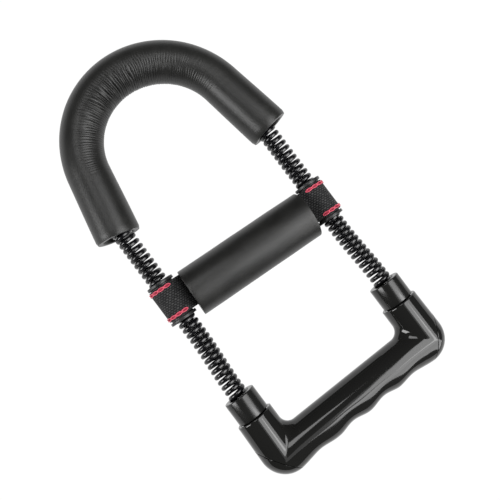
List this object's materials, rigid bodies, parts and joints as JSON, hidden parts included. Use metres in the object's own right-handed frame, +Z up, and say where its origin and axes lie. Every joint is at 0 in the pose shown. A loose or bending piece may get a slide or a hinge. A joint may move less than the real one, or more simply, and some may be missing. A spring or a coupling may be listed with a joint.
{
  "type": "wrist exerciser",
  "caption": "Spring wrist and forearm exerciser: foam-covered U bend, twin coil-spring legs, sliding padded crossbar on webbing spools and a moulded grip with finger grooves.",
  "frame": {"origin": "bottom centre of the outline as it lies flat: middle of its width and length, level with the underside of the crossbar's foam roll", "axes": "+X across, +Y along the spring legs from the handle towards the U bend, +Z up, away from the surface it lies on"},
  "size_m": [0.1666, 0.3172, 0.036],
  "materials": {
    "foam": "matte closed-cell foam",
    "tube": "zinc plated",
    "spring": "glossy black",
    "steel": "zinc plated",
    "spool": "satin",
    "webbing": "woven tape",
    "thread": "polyester thread",
    "moulding": "high gloss"
  },
  "bodies": {
    "bend_frame": {"bend_tube": "tube", "bend_foam_sleeve": "foam", "upper_spring_plug_left": "steel", "upper_spring_plug_right": "steel", "spring_left_upper": "spring", "spring_right_upper": "spring"},
    "crossbar": {"crossbar_strap": "webbing", "crossbar_foam_roll": "foam", "spool_left": "spool", "spool_right": "spool", "stitch_row_left_upper": "thread", "stitch_row_left_lower": "thread", "stitch_row_right_upper": "thread", "stitch_row_right_lower": "thread"},
    "spring_link_1": {"spring_left_flex_1": "spring", "spring_right_flex_1": "spring"},
    "spring_link_2": {"spring_left_flex_2": "spring", "spring_right_flex_2": "spring"},
    "spring_link_3": {"spring_left_flex_3": "spring", "spring_right_flex_3": "spring"},
    "spring_link_4": {"spring_left_flex_4": "spring", "spring_right_flex_4": "spring"},
    "handle": {"handle_body": "moulding", "socket_collar_left": "moulding", "socket_collar_right": "moulding", "lower_spring_anchor_left": "steel", "lower_spring_anchor_right": "steel", "retaining_screw_left": "steel", "retaining_screw_right": "steel", "corner_cap_left": "moulding", "corner_cap_right": "moulding", "spring_left_lower": "spring", "spring_right_lower": "spring"}
  },
  "joints": [
    {"name": "crossbar_slide", "type": "slide", "parent": "bend_frame", "child": "crossbar", "axis": [0, 1, 0], "range_m": [-0.006, 0.028]},
    {"name": "spring_flex_1", "type": "hinge", "parent": "bend_frame", "child": "spring_link_1", "pos_m": [0, -0.03995, 0.018], "axis": [-1, 0, 0], "range_deg": [-12, 12], "stiffness_Nm_per_rad": 12},
    {"name": "spring_flex_2", "type": "hinge", "parent": "spring_link_1", "child": "spring_link_2", "pos_m": [0, -0.05087, 0.018], "axis": [-1, 0, 0], "range_deg": [-12, 12], "stiffness_Nm_per_rad": 12},
    {"name": "spring_flex_3", "type": "hinge", "parent": "spring_link_2", "child": "spring_link_3", "pos_m": [0, -0.0618, 0.018], "axis": [-1, 0, 0], "range_deg": [-12, 12], "stiffness_Nm_per_rad": 12},
    {"name": "spring_flex_4", "type": "hinge", "parent": "spring_link_3", "child": "spring_link_4", "pos_m": [0, -0.07272, 0.018], "axis": [-1, 0, 0], "range_deg": [-12, 12], "stiffness_Nm_per_rad": 12},
    {"name": "spring_flex_5", "type": "hinge", "parent": "spring_link_4", "child": "handle", "pos_m": [0, -0.08364, 0.018], "axis": [-1, 0, 0], "range_deg": [-12, 12], "stiffness_Nm_per_rad": 12}
  ],
  "couplings": [
    {"joint": "spring_flex_2", "follows": "spring_flex_1", "ratio": 1},
    {"joint": "spring_flex_3", "follows": "spring_flex_1", "ratio": 1},
    {"joint": "spring_flex_4", "follows": "spring_flex_1", "ratio": 1},
    {"joint": "spring_flex_5", "follows": "spring_flex_1", "ratio": 1}
  ]
}
